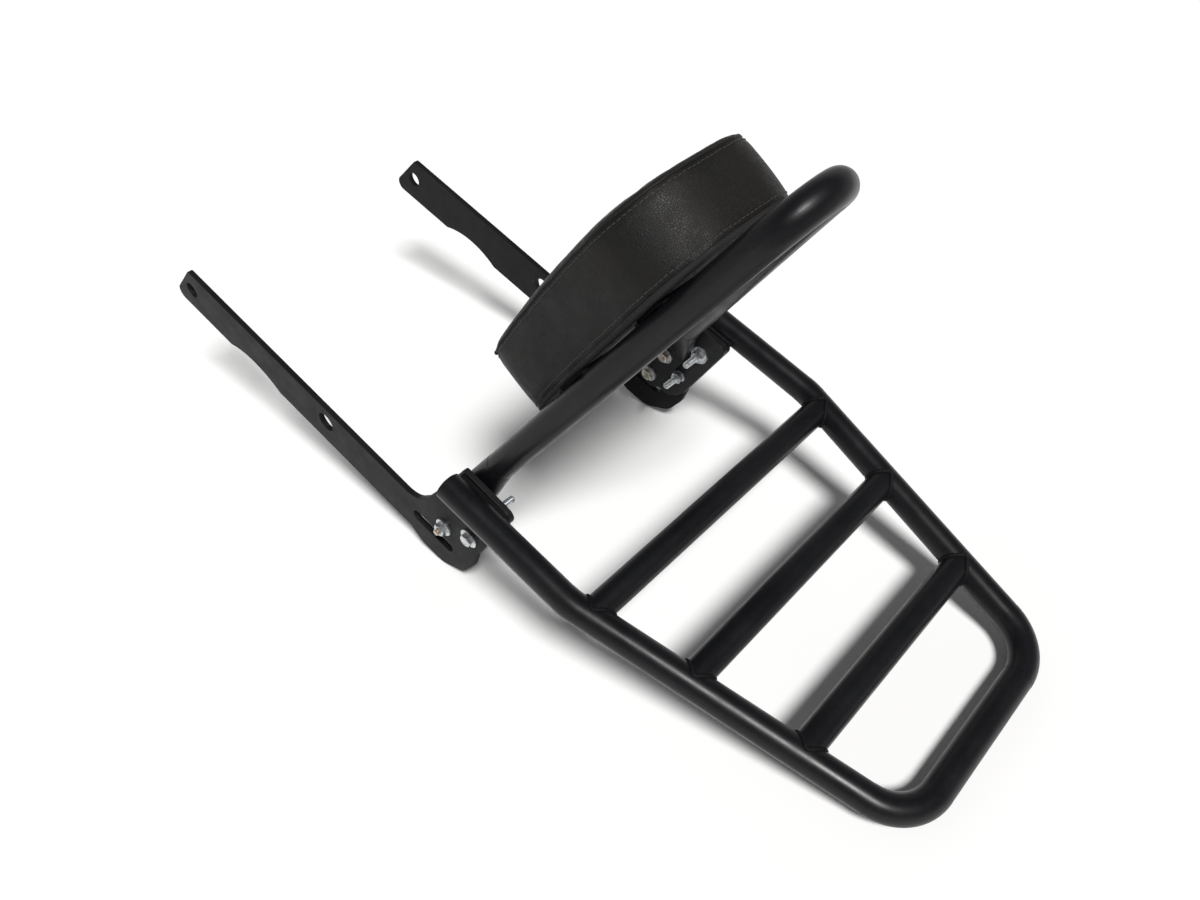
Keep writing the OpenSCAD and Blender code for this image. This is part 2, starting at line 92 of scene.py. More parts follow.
# ---------------------------------------------------------------- materials
class Mat:
    """A small helper round one material's node tree."""

    def __init__(self, name):
        self.m = bpy.data.materials.new(name)
        self.m.use_nodes = True
        self.t = self.m.node_tree
        self.t.nodes.clear()
        self.out = self.t.nodes.new("ShaderNodeOutputMaterial")
        self.b = self.t.nodes.new("ShaderNodeBsdfPrincipled")
        self.link(self.b.outputs[0], self.out.inputs[0])
        self.tc = self.t.nodes.new("ShaderNodeTexCoord")
        self.co = self.tc.outputs["Object"]

    def link(self, a, b):
        self.t.links.new(a, b)

    def node(self, kind, **kw):
        n = self.t.nodes.new(kind)
        for k, v in kw.items():
            if k in n.inputs:
                n.inputs[k].default_value = v
            else:
                setattr(n, k, v)
        return n

    def noise(self, scale, detail=3.0, rough=0.5, co=None, dist=0.0):
        n = self.node("ShaderNodeTexNoise", Scale=scale, Detail=detail, Roughness=rough, Distortion=dist)
        self.link(co or self.co, n.inputs["Vector"])
        return n.outputs["Fac"]

    def voronoi(self, scale, feature="F1", co=None, out="Distance", rnd=1.0):
        n = self.node("ShaderNodeTexVoronoi", feature=feature, Scale=scale, Randomness=rnd)
        self.link(co or self.co, n.inputs["Vector"])
        return n.outputs[out]

    def ramp(self, fac, stops, interp="LINEAR"):
        n = self.node("ShaderNodeValToRGB")
        cr = n.color_ramp
        cr.interpolation = interp
        while len(cr.elements) < len(stops):
            cr.elements.new(0.5)
        for e, (p, c) in zip(cr.elements, stops):
            e.position = p
            e.color = (*c, 1) if len(c) == 3 else c
        self.link(fac, n.inputs["Fac"])
        return n.outputs["Color"]

    def maprange(self, v, a, b, c, d):
        n = self.node("ShaderNodeMapRange")
        for i, x in zip((1, 2, 3, 4), (a, b, c, d)):
            n.inputs[i].default_value = x
        self.link(v, n.inputs[0])
        return n.outputs[0]

    def math(self, op, a, b=None, clamp=False):
        n = self.node("ShaderNodeMath", operation=op, use_clamp=clamp)
        for i, v in enumerate((a, b)):
            if v is None:
                continue
            if isinstance(v, (int, float)):
                n.inputs[i].default_value = v
            else:
                self.link(v, n.inputs[i])
        return n.outputs[0]

    def mix(self, fac, a, b):
        n = self.node("ShaderNodeMix", data_type="RGBA")
        if isinstance(fac, (int, float)):
            n.inputs[0].default_value = fac
        else:
            self.link(fac, n.inputs[0])
        for i, v in ((6, a), (7, b)):
            if isinstance(v, tuple):
                n.inputs[i].default_value = (*v, 1)
            else:
                self.link(v, n.inputs[i])
        return n.outputs[2]

    def bump(self, height, strength, distance, under=None):
        n = self.node("ShaderNodeBump", Strength=strength, Distance=distance)
        self.link(height, n.inputs["Height"])
        if under is not None:
            self.link(under, n.inputs["Normal"])
        self.link(n.outputs[0], self.b.inputs["Normal"])
        return n.outputs[0]

    def set(self, **kw):
        for k, v in kw.items():
            k = k.replace("_", " ")
            s = self.b.inputs[k]
            if isinstance(v, (int, float)):
                s.default_value = v
            elif isinstance(v, tuple):
                s.default_value = (*v, 1)
            else:
                self.link(v, s)


def powder_coat(name, dark, light, rough, spec, peel=1.0, specks=True):
    m = Mat(name)
    big = m.noise(14, 3, 0.55)
    fine = m.noise(420, 2, 0.5)
    col = m.ramp(big, [(0.35, dark), (0.68, light)])
    col = m.mix(m.maprange(fine, 0.45, 0.75, 0.0, 0.28), col, tuple(c * 1.8 for c in light))
    if specks:
        v = m.node("ShaderNodeTexVoronoi", feature="F1", Scale=210.0)
        m.link(m.co, v.inputs["Vector"])
        sel = m.math("GREATER_THAN", m.maprange(v.outputs["Color"], 0, 1, 0, 1), 0.925)
        dot = m.math("LESS_THAN", v.outputs["Distance"], 0.085)
        pick = m.math("MULTIPLY", m.math("MULTIPLY", sel, dot), m.math("GREATER_THAN", m.noise(38, 2), 0.5))
        col = m.mix(pick, col, (0.16, 0.16, 0.155))
    m.set(Base_Color=col, Metallic=0.0, Specular_IOR_Level=spec)
    m.set(Roughness=m.maprange(m.noise(55, 4, 0.6), 0.3, 0.7, rough - 0.05, rough + 0.07))
    b1 = m.bump(m.noise(900, 2, 0.5), 0.35 * peel, 0.00006)
    m.bump(m.noise(160, 2, 0.5), 0.25 * peel, 0.00012, b1)
    return m.m


def zinc(name, tint, dirt, dirt_at):
    m = Mat(name)
    n = m.noise(260, 4, 0.6)
    patch = m.noise(120, 3, 0.6)
    col = m.ramp(n, [(0.3, tuple(c * 0.62 for c in tint)), (0.5, tint), (0.72, tuple(min(1, c * 1.18) for c in tint))])
    col = m.mix(m.maprange(patch, dirt_at, dirt_at + 0.12, 0.0, 0.75), col, dirt)
    m.set(Base_Color=col, Metallic=0.9)
    m.set(Roughness=m.maprange(patch, 0.35, 0.7, 0.2, 0.46))
    m.bump(m.noise(1500, 2, 0.5), 0.3, 0.00004)
    return m.m


def leatherette(name, tone=1.0, warm=True):
    m = Mat(name)
    # pebble grain: cells of about a millimetre with soft creases between
    warp = m.node("ShaderNodeVectorMath", operation="MULTIPLY_ADD")
    nz = m.node("ShaderNodeTexNoise", Scale=220.0, Detail=2.0)
    m.link(m.co, nz.inputs["Vector"])
    m.link(nz.outputs["Color"], warp.inputs[0])
    warp.inputs[1].default_value = (0.0009, 0.0009, 0.0009)
    m.link(m.co, warp.inputs[2])
    cells = m.voronoi(1050, "SMOOTH_F1", co=warp.outputs[0])
    crease = m.voronoi(640, "DISTANCE_TO_EDGE", co=warp.outputs[0])
    soft = m.noise(26, 4, 0.6)
    base = m.ramp(soft, [(0.3, (0.0030 * tone, 0.0030 * tone, 0.0030 * tone)), (0.7, (0.0056 * tone, 0.0055 * tone, 0.0051 * tone))])
    # painted sheen: the upper end of the pad is tinted warmer and lighter, by height and noise, in place of the sheen
    # on it
    if warm:
        sep = m.node("ShaderNodeSeparateXYZ")
        m.link(m.co, sep.inputs[0])
        painted_sheen_zone = m.math("MULTIPLY", m.maprange(sep.outputs["Z"], 0.26, 0.35, 0.0, 0.75),
                      m.maprange(m.noise(20, 3, 0.55), 0.42, 0.66, 0.15, 1.0))
        base = m.mix(painted_sheen_zone, base, (0.0092 * tone, 0.0070 * tone, 0.0056 * tone))
    # painted shade: the creases between the grain cells are darkened in the colour
    base = m.mix(m.maprange(crease, 0.0, 0.09, 0.5, 0.0), base, (0.0015, 0.0015, 0.0015))
    m.set(Base_Color=base, Specular_IOR_Level=0.25)
    m.set(Sheen_Weight=0.015, Sheen_Roughness=0.45)
    m.set(Roughness=m.maprange(m.noise(70, 3, 0.6), 0.3, 0.7, 0.47, 0.62))
    b1 = m.bump(m.maprange(crease, 0.0, 0.14, 0.0, 1.0), 0.55, 0.00016)
    b2 = m.bump(cells, 0.35, -0.00012, b1)
    m.bump(m.noise(34, 3, 0.6), 0.3, 0.0012, b2)
    return m.m


def plywood(name):
    m = Mat(name)
    mp = m.node("ShaderNodeMapping")
    mp.inputs["Scale"].default_value = (1.0, 7.0, 7.0)
    m.link(m.co, mp.inputs["Vector"])
    g = m.noise(36, 6, 0.62, co=mp.outputs[0], dist=0.6)
    col = m.ramp(g, [(0.3, (0.16, 0.098, 0.052)), (0.5, (0.30, 0.20, 0.115)), (0.72, (0.40, 0.285, 0.17))])
    m.set(Base_Color=col, Roughness=m.maprange(g, 0.3, 0.7, 0.62, 0.82), Specular_IOR_Level=0.25)
    m.bump(g, 0.4, 0.0002)
    return m.m


def woven_lining(name):
    m = Mat(name)
    w1 = m.node("ShaderNodeTexWave", Scale=560.0, wave_type="BANDS", bands_direction="X")
    w2 = m.node("ShaderNodeTexWave", Scale=560.0, wave_type="BANDS", bands_direction="Z")
    for w in (w1, w2):
        m.link(m.co, w.inputs["Vector"])
    h = m.math("MAXIMUM", w1.outputs["Fac"], w2.outputs["Fac"])
    col = m.ramp(h, [(0.0, (0.006, 0.006, 0.006)), (1.0, (0.02, 0.02, 0.021))])
    m.set(Base_Color=col, Roughness=m.maprange(m.noise(90, 3), 0.3, 0.7, 0.72, 0.9), Specular_IOR_Level=0.2)
    m.bump(h, 0.5, 0.00014)
    return m.m


def thread_mat(name):
    m = Mat(name)
    w = m.node("ShaderNodeTexWave", Scale=1400.0, wave_type="BANDS", bands_direction="DIAGONAL")
    m.link(m.co, w.inputs["Vector"])
    col = m.ramp(w.outputs["Fac"], [(0.0, (0.012, 0.012, 0.012)), (1.0, (0.06, 0.058, 0.055))])
    m.set(Base_Color=col, Roughness=m.maprange(m.noise(300, 2), 0.3, 0.7, 0.5, 0.7))
    m.bump(w.outputs["Fac"], 0.5, 0.00008)
    return m.m


M_FRAME = powder_coat("frame_powder_coat", (0.0036, 0.0038, 0.0046), (0.0062, 0.0065, 0.0076), 0.33, 0.26)
M_ARM = powder_coat("arm_powder_coat", (0.0056, 0.0056, 0.0062), (0.0090, 0.0090, 0.0098), 0.50, 0.09, 1.3)
M_PLATE = powder_coat("hoop_plate_powder_coat", (0.0052, 0.0053, 0.0062), (0.0086, 0.0088, 0.0098), 0.42, 0.24)
M_WELD = powder_coat("weld_powder_coat", (0.0034, 0.0036, 0.0042), (0.0056, 0.0059, 0.0066), 0.66, 0.12, 1.5, specks=False)
# painted shade: the pad straps get a darker, matt copy of the frame coat so that their lit faces read as the shade
# behind the pad
M_STRAP_PAINTED_SHADE = powder_coat("strap_painted_shade_coat", (0.0018, 0.0019, 0.0022), (0.0032, 0.0033, 0.0037), 0.78, 0.04, 1.2, specks=False)
M_ZINC = zinc("zinc_cool", (0.62, 0.645, 0.665), (0.19, 0.185, 0.18), 0.60)
M_ZINC_WARM = zinc("zinc_warm", (0.60, 0.55, 0.49), (0.30, 0.21, 0.15), 0.50)
M_COVER = leatherette("black_leatherette")
M_EDGE = leatherette("seam_leatherette", 1.15)
M_WELT = leatherette("welt_leatherette", 2.6, warm=False)
M_BACK = woven_lining("black_lining")
M_BOARD = plywood("plywood")
M_THREAD = thread_mat("black_sewing_thread")


def paint(node, mat):
    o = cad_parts[node]
    if not o.material_slots:
        o.data.materials.append(mat)
    for s in o.material_slots:
        s.material = mat
    return o


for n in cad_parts:
    if n.startswith("arm_plate"):
        paint(n, M_ARM)
    elif n.startswith("hoop_plate"):
        paint(n, M_PLATE)
    # pad straps: the darker painted-shade coat
    elif n.startswith("pad_strap"):
        paint(n, M_STRAP_PAINTED_SHADE)
    elif n.startswith(("rack_", "cross_bar", "backrest")):
        paint(n, M_FRAME)
    elif n.startswith(("leg_",)):
        paint(n, M_ZINC_WARM if n.startswith("leg_bolts") else M_ZINC)
    elif n.startswith(("plate_", "strap_", "tee_")):
        paint(n, M_ZINC)
    elif n == "pad_board":
        paint(n, M_BOARD)
    elif n.startswith("pad_piping"):
        paint(n, M_EDGE)
    elif n == "pad_cushion":
        paint(n, M_COVER)


# ---------------------------------------------------------------- mesh helpers
def add_mesh(name, verts, faces, mat, smooth=True):
    me = bpy.data.meshes.new(name)
    me.from_pydata([tuple(v) for v in verts], [], faces)
    me.validate()
    bm = bmesh.new()
    bm.from_mesh(me)
    bmesh.ops.recalc_face_normals(bm, faces=bm.faces)
    bm.to_mesh(me)
    bm.free()
    if smooth:
        me.polygons.foreach_set("use_smooth", [True] * len(me.polygons))
    o = bpy.data.objects.new(name, me)
    bpy.context.scene.collection.objects.link(o)
    me.materials.append(mat)
    return o


def sharp_edges(o, deg=35):
    bm = bmesh.new()
    bm.from_mesh(o.data)
    lim = math.radians(deg)
    for e in bm.edges:
        if len(e.link_faces) == 2 and e.calc_face_angle(0) > lim:
            e.smooth = False
    bm.to_mesh(o.data)
    bm.free()


class Soup:
    """Collects several closed strips into one mesh."""

    def __init__(self):
        self.v, self.f = [], []

    def grid(self, rows, closed_u=True, closed_v=False, caps=False):
        """rows: list of rings of points; closed_u closes each ring."""
        base, n, k = len(self.v), len(rows[0]), len(rows)
        for r in rows:
            self.v += r
        for i in range(k if closed_v else k - 1):
            a, b = base + i * n, base + ((i + 1) % k) * n
            for j in range(n if closed_u else n - 1):
                j2 = (j + 1) % n
                self.f.append((a + j, a + j2, b + j2, b + j))
        if caps:
            self.f.append(tuple(base + j for j in range(n))[::-1])
            self.f.append(tuple(base + (k - 1) * n + j for j in range(n)))

    def tube(self, path, radius, seg=10, closed=False, squash=None):
        """A tube along points (metres); radius may be a function of the index."""
        n = len(path)
        up = None
        rows = []
        for i in range(n):
            if closed:
                t = path[(i + 1) % n] - path[i - 1]
            else:
                t = path[min(i + 1, n - 1)] - path[max(i - 1, 0)]
            t.normalize()
            if up is None:
                up = Vector((0, 0, 1)) if abs(t.z) < 0.9 else Vector((1, 0, 0))
            up = (up - t * up.dot(t)).normalized()
            side = t.cross(up)
            r = radius(i) if callable(radius) else radius
            rows.append([path[i] + (side * math.cos(a) + up * math.sin(a)) * r
                         for a in (2 * math.pi * j / seg for j in range(seg))])
        self.grid(rows, True, closed, not closed)


# ---------------------------------------------------------------- plates
ARM_P = [(-30, -25), (306, -25), (320, -33), (347, -33), (371.5, -15), (380.5, 8), (381.5, 27),
         (404, 107.7), (351.5, 107.7), (322, 40), (308, 21), (-1, 23.5)]
ARM_R = [8, 15, 14, 22, 22, 20, 10, 7, 4, 20, 24, 4]
HOOP_P = [(334, 9), (366, 9), (375, 16), (381.3, 26), (404, 107.7), (351, 110.7), (327, 48), (325, 22)]
HOOP_R = [8, 8, 0, 10, 7, 3, 6, 10]


def round_loop(P, Rr, step=4.0):
    """Counter-clockwise outline with its corners as fine arcs."""
    P = [Vector(p) for p in P]
    out = []
    for i, p in enumerate(P):
        if Rr[i] <= 0:
            out.append(p.copy())
            continue
        a = (P[i - 1] - p).normalized()
        b = (P[(i + 1) % len(P)] - p).normalized()
        half = math.acos(max(-1, min(1, a.dot(b)))) / 2
        c = p + (a + b).normalized() * Rr[i] / math.sin(half)
        t0, t1 = p + a * Rr[i] / math.tan(half), p + b * Rr[i] / math.tan(half)
        a0 = math.atan2(t0.y - c.y, t0.x - c.x)
        a1 = math.atan2(t1.y - c.y, t1.x - c.x)
        d = (a1 - a0 + math.pi) % (2 * math.pi) - math.pi
        n = max(2, int(abs(math.degrees(d)) / step) + 1)
        out += [c + Vector((math.cos(a0 + d * k / n), math.sin(a0 + d * k / n))) * Rr[i] for k in range(n + 1)]
    return out


def circle_loop(c, r, n=56):
    return [Vector((c[0] + r * math.cos(a), c[1] + r * math.sin(a))) for a in (2 * math.pi * k / n for k in range(n))]


def arm_loop():
    loop = round_loop(ARM_P, ARM_R)
    # the shallow scallop in the bottom edge, with softened ends
    half, depth = 36.0, 8.5
    sr = (half * half + depth * depth) / (2 * depth)
    top = math.asin(half / sr)
    arc = []
    for k in range(41):
        a = -top + 2 * top * k / 40
        arc.append(Vector((91 + sr * math.sin(a), -25 - sr + depth + sr * math.cos(a) - 0.0)))
    k = next(i for i in range(len(loop)) if loop[i].x < 50 < loop[(i + 1) % len(loop)].x and abs(loop[i].y + 25) < 0.5)
    return loop[:k + 1] + arc + loop[k + 1:]


def slot_loop(y0, y1, z, w):
    r = w / 2
    n = 20
    return [Vector((y1 + r * math.cos(a), z + r * math.sin(a))) for a in (-math.pi / 2 + math.pi * k / n for k in range(n + 1))] + \
           [Vector((y0 + r * math.cos(a), z + r * math.sin(a))) for a in (math.pi / 2 + math.pi * k / n for k in range(n + 1))]


def area2(loop):
    return sum(a.x * b.y - b.x * a.y for a, b in zip(loop, loop[1:] + loop[:1]))


def inset_loop(loop, d):
    """Moves an outline towards its material by d (outer loops ccw, holes cw)."""
    n = len(loop)
    out = []
    for i in range(n):
        a, p, b = loop[i - 1], loop[i], loop[(i + 1) % n]
        e0, e1 = (p - a).normalized(), (b - p).normalized()
        n0, n1 = Vector((-e0.y, e0.x)), Vector((-e1.y, e1.x))
        m = (n0 + n1).normalized()
        out.append(p + m * d / max(0.5, m.dot(n0)))
    return out


def cut_plate(name, outer, holes, x0, x1, mat, edge=0.55):
    """A cut plate between x0 and x1 with every edge rounded over."""
    from mathutils.geometry import delaunay_2d_cdt
    loops = [outer] + [list(reversed(h)) for h in holes]
    prof = [(edge, 0.0), (edge * 0.29, edge * 0.29), (0.0, edge)]
    lo, hi = min(x0, x1), max(x0, x1)
    levels = [(i, lo + d) for i, d in prof] + [(i, hi - d) for i, d in reversed(prof)]
    soup = Soup()
    for lp in loops:
        rows = [[Vector((x, q.x, q.y)) * MM for q in inset_loop(lp, ins)] for ins, x in levels]
        soup.grid(rows, True, False, False)
    pts, edges = [], []
    for lp in loops:
        base = len(pts)
        pts += inset_loop(lp, edge)
        edges += [(base + i, base + (i + 1) % len(lp)) for i in range(len(lp))]
    vo, _, fo, _, _, _ = delaunay_2d_cdt([Vector(q) for q in pts], edges, [], 0, 1e-5)

    def inside(lp, c):
        hit = False
        for a, b in zip(lp, lp[1:] + lp[:1]):
            if (a.y > c.y) != (b.y > c.y) and c.x < (b.x - a.x) * (c.y - a.y) / (b.y - a.y) + a.x:
                hit = not hit
        return hit
    inner = [inset_loop(lp, edge) for lp in loops]
    keep = []
    for f in fo:
        c = sum((vo[i] for i in f), Vector((0, 0))) / len(f)
        if inside(inner[0], c) and not any(inside(h, c) for h in inner[1:]):
            keep.append(f)
    for x in (lo, hi):
        base = len(soup.v)
        soup.v += [Vector((x, q.x, q.y)) * MM for q in vo]
        soup.f += [tuple(base + i for i in f) for f in keep]
    o = add_mesh(name, soup.v, soup.f, mat)
    bm = bmesh.new()
    bm.from_mesh(o.data)
    bmesh.ops.remove_doubles(bm, verts=bm.verts, dist=2e-6)
    loose = [v for v in bm.verts if not v.link_faces]
    bmesh.ops.delete(bm, geom=loose, context="VERTS")
    bmesh.ops.recalc_face_normals(bm, faces=bm.faces)
    for e in bm.edges:
        if len(e.link_faces) == 2:
            e.smooth = e.calc_face_angle(0) < math.radians(50)
    bm.to_mesh(o.data)
    bm.free()
    wn = o.modifiers.new("normals", "WEIGHTED_NORMAL")
    wn.keep_sharp = True
    wn.weight = 100
    return o


def plates():
    out = []
    arm = arm_loop()
    ah = [circle_loop((0, 0), 7.5), circle_loop((193.5, 3), 9.0), slot_loop(314, 350, 0, 12.0)] + \
         [circle_loop(p, 3.2, 28) for p in (PA, PB, PD)]
    hoop = round_loop(HOOP_P, HOOP_R)
    hh = [circle_loop(p, 3.2 if p != PC else 3.05, 28) for p in (PA, PB, PC, PD)]
    for side, s in (("left", 1), ("right", -1)):
        o = cut_plate("arm_" + side + "_cut_plate", arm, ah, s * XI, s * XO, M_ARM)
        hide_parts("arm_plate_" + side)
        h = cut_plate("hoop_" + side + "_cut_plate", hoop, hh, s * XH, s * XI, M_PLATE)
        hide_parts("hoop_plate_" + side)
        out += [o, h]
    return out


# ---------------------------------------------------------------- weld beads
def bead_profile(ripple, k):
    """Slightly uneven bead radius in metres with the marks of each puddle."""
    return (1.0 + 0.14 * math.sin(ripple * k) + 0.07 * math.sin(ripple * 0.37 * k + 1.3)) * MM


def side_axis_x(y):
    return XR - max(0.0, y - TAPER_Y) * math.tan(TAPER)


def cross_bar_welds():
    soup = Soup()
    for y0 in BARS:
        for s in (-1, 1):
            path = []
            n = 96
            for k in range(n):
                a = 2 * math.pi * k / n
                y, z = y0 + (TR + 0.05) * math.cos(a), (TR + 0.05) * math.sin(a)
                # surface of the tapering side tube at this height, inboard side
                zz = min(abs(z), TR - 0.02)
                off = math.sqrt(max(0.0, TR * TR - zz * zz)) / math.cos(TAPER)
                x = side_axis_x(y) - off
                path.append(Vector((s * x, y, RACK_Z + z)) * MM)
            soup.tube(path, lambda i: 1.7 * bead_profile(1.9, i), 9, closed=True)
    return add_mesh("cross_bar_weld_beads", soup.v, soup.f, M_WELD)


def plate_welds():
    """Fillets between the rack side tubes and the arm and hoop plates."""
    soup = Soup()
    for s in (-1, 1):
        for (x, z, y0, y1, r) in ((XO + 0.6, RACK_Z - 2.6, 357, 402, 2.0), (XO - 1.2, RACK_Z - 1.2, 354, 401, 1.9)):
            n = 60
            path = [Vector((s * x, y0 + (y1 - y0) * k / n, z)) * MM for k in range(n + 1)]
            soup.tube(path, lambda i, r=r, n=n: r * bead_profile(2.1, i) * (0.45 if i in (0, n) else 1.0), 9)
    return add_mesh("plate_weld_beads", soup.v, soup.f, M_WELD)


def strap_welds():
    """Short fillets where the two pad straps lie on the hoop legs."""
    soup = Soup()
    for sc in STRAPS:
        for sgn in (-1, 1):
            for edge in (-12, 12):
                path = []
                for k in range(25):
                    t = -5.5 + 8 * k / 24
                    st = sc + edge * 1.03
                    x = 107.9 - (st - 15) * math.tan(math.radians(16)) + t
                    d = math.sqrt(max(0.5, TR * TR - t * t * 0.9))
                    path.append(hoop_pt(sgn * x, st, min(d, TR) + 0.2))
                soup.tube(path, lambda i: 1.2 * bead_profile(2.0, i), 8)
    return add_mesh("strap_weld_beads", soup.v, soup.f, M_WELD)


# ---------------------------------------------------------------- bolts
def hex_r(a, af):
    k = math.radians(60)
    return af / 2 / math.cos(((a + k / 2) % k) - k / 2)


def hex_head(soup, x0, x1, p, af, tilt=0.0, dish=True):
    """Hex head along X from its bearing face x0 to its top x1."""
    sgn = 1 if x1 > x0 else -1
    h = abs(x1 - x0)
    n = 72
    rows = []
    levels = [(0.0, 5.3), (0.25, 5.9), (h - 1.15, 5.9), (h - 0.75, 5.6), (h - 0.38, 5.2), (h - 0.08, 4.75), (h, 4.5)]
    if dish:
        levels += [(h, 3.6), (h - 0.35, 3.2), (h - 0.45, 0.05)]
    else:
        levels += [(h, 0.05)]
    for (z, rc) in levels:
        ring = []
        for k in range(n):
            a = 2 * math.pi * k / n
            r = min(hex_r(a, af), rc) if rc > 3.7 else rc
            ring.append(Vector((x0 + sgn * z, p[0] + r * math.cos(a + tilt), p[1] + r * math.sin(a + tilt))) * MM)
        rows.append(ring)
    soup.grid(rows, True, False, True)


def threaded(soup, x0, x1, p, major=3.0, depth=0.58, pitch=1.0, tip=True):
    """Thread from x0 towards its free end x1, as one swept helical surface."""
    sgn = 1 if x1 > x0 else -1
    length = abs(x1 - x0)
    n, per = 28, 7
    rows = []
    steps = int(length / pitch * per)
    for i in range(steps + 1):
        z = i / per * pitch
        ring = []
        for k in range(n):
            a = 2 * math.pi * k / n
            ph = ((z - a / (2 * math.pi) * pitch) / pitch) % 1.0
            tri = abs(ph - 0.5) * 2                       # 1 at the crest
            tri = min(1.0, max(0.0, (tri - 0.08) / 0.8))
            r = major - depth * (1 - tri)
            if tip:
                r = min(r, major - 0.75 + (length - z) * 0.8)
            ring.append(Vector((x0 + sgn * z, p[0] + r * math.cos(a), p[1] + r * math.sin(a))) * MM)
        rows.append(ring)
    soup.grid(rows, True, False, True)


def shank(soup, x0, x1, p, r=2.95):
    rows = [[Vector((x, p[0] + r * math.cos(a), p[1] + r * math.sin(a))) * MM
             for a in (2 * math.pi * k / 28 for k in range(28))] for x in (x0, x1)]
    soup.grid(rows, True, False, True)


def plate_bolt_set(name, s):
    soup = Soup()
    for p, tilt in ((PA, 0.35), (PB, 0.9)):
        hex_head(soup, s * (XO + 1.6), s * (XO + 5.6), p, 10, tilt)
        shank(soup, s * (XO + 1.6), s * (XH - 6.6), p)
        threaded(soup, s * (XH - 6.0), s * (XH - 21), p)
    o = add_mesh(name, soup.v, soup.f, M_ZINC)
    sharp_edges(o, 28)
    return o


def leg_bolt_set(name, s):
    soup = Soup()
    for p, tilt in ((PC, 0.15), (PD, 0.7)):
        hex_head(soup, s * (XF - 1.6), s * (XF - 5.6), p, 10, tilt)
        if p == PC:
            shank(soup, s * (XF - 1.6), s * (XI - 0.3), p)
        else:
            shank(soup, s * (XF - 1.6), s * (XO + 6.0), p)
            threaded(soup, s * (XO + 5.6), s * (XO + 9.6), p)
    o = add_mesh(name, soup.v, soup.f, M_ZINC_WARM)
    sharp_edges(o, 28)
    return o


# ---------------------------------------------------------------- pad
def pad_loop(inset, per_side=26, arc=14):
    """The pad outline in (x, s), counter-clockwise, with its arc length step."""
    (w0, w1), (r0, r1) = PAD_HW, PAD_R
    P = [Vector((-w0, PAD_LOW)), Vector((w0, PAD_LOW)), Vector((w1, PAD_HIGH)), Vector((-w1, PAD_HIGH))]
    Rr = [r0, r0, r1, r1]
    pts = []
    for i in range(4):
        a = (P[i - 1] - P[i]).normalized()
        b = (P[(i + 1) % 4] - P[i]).normalized()
        half = math.acos(max(-1, min(1, a.dot(b)))) / 2
        corner = P[i] + (a + b).normalized() * inset / math.sin(half)
        r = max(2.0, Rr[i] - inset)
        c = corner + (a + b).normalized() * r / math.sin(half)
        t0 = corner + a * r / math.tan(half)
        t1 = corner + b * r / math.tan(half)
        a0 = math.atan2(t0.y - c.y, t0.x - c.x)
        a1 = math.atan2(t1.y - c.y, t1.x - c.x)
        d = (a1 - a0 + math.pi) % (2 * math.pi) - math.pi
        for k in range(arc + 1):
            t = a0 + d * k / arc
            pts.append(c + Vector((math.cos(t), math.sin(t))) * r)
    # resample evenly
    out = []
    L = [0.0]
    m = len(pts)
    for i in range(m):
        L.append(L[-1] + (pts[(i + 1) % m] - pts[i]).length)
    total = L[-1]
    count = per_side * 4
    j = 0
    for k in range(count):
        d = total * k / count
        while L[j + 1] < d:
            j += 1
        f = (d - L[j]) / max(1e-9, L[j + 1] - L[j])
        out.append(pts[j % m].lerp(pts[(j + 1) % m], f))
    return out, total


def pad_solid(name, grow=-1.5):
    """Closed starting shape for the cloth step: straight side, front face."""
    rows = []
    levels = [(6.0, PAD_BACK + 0.8), (2.0, PAD_BACK + 1.0), (1.2, PAD_BACK + 4), (0.9, (PAD_BACK + SIDE_TOP) / 2),
              (1.2, SIDE_TOP - 2), (1.6, SIDE_TOP + 0.3), (4.0, SIDE_TOP + 2.2), (9.0, SIDE_TOP + 4.0),
              (16, SIDE_TOP + 5.2), (27, SIDE_TOP + 6.0), (42, SIDE_TOP + 6.3)]
    for ins, d in levels:
        loop, _ = pad_loop(ins - grow * 0)
        rows.append([pad_pt(p.x, p.y, d) for p in loop])
    soup = Soup()
    soup.grid(rows, True, False, True)
    return add_mesh(name, soup.v, soup.f, M_COVER)


def apply_mods(o):
    dg = bpy.context.evaluated_depsgraph_get()
    me = bpy.data.meshes.new_from_object(o.evaluated_get(dg))
    old = o.data
    o.modifiers.clear()
    o.data = me
    bpy.data.meshes.remove(old)


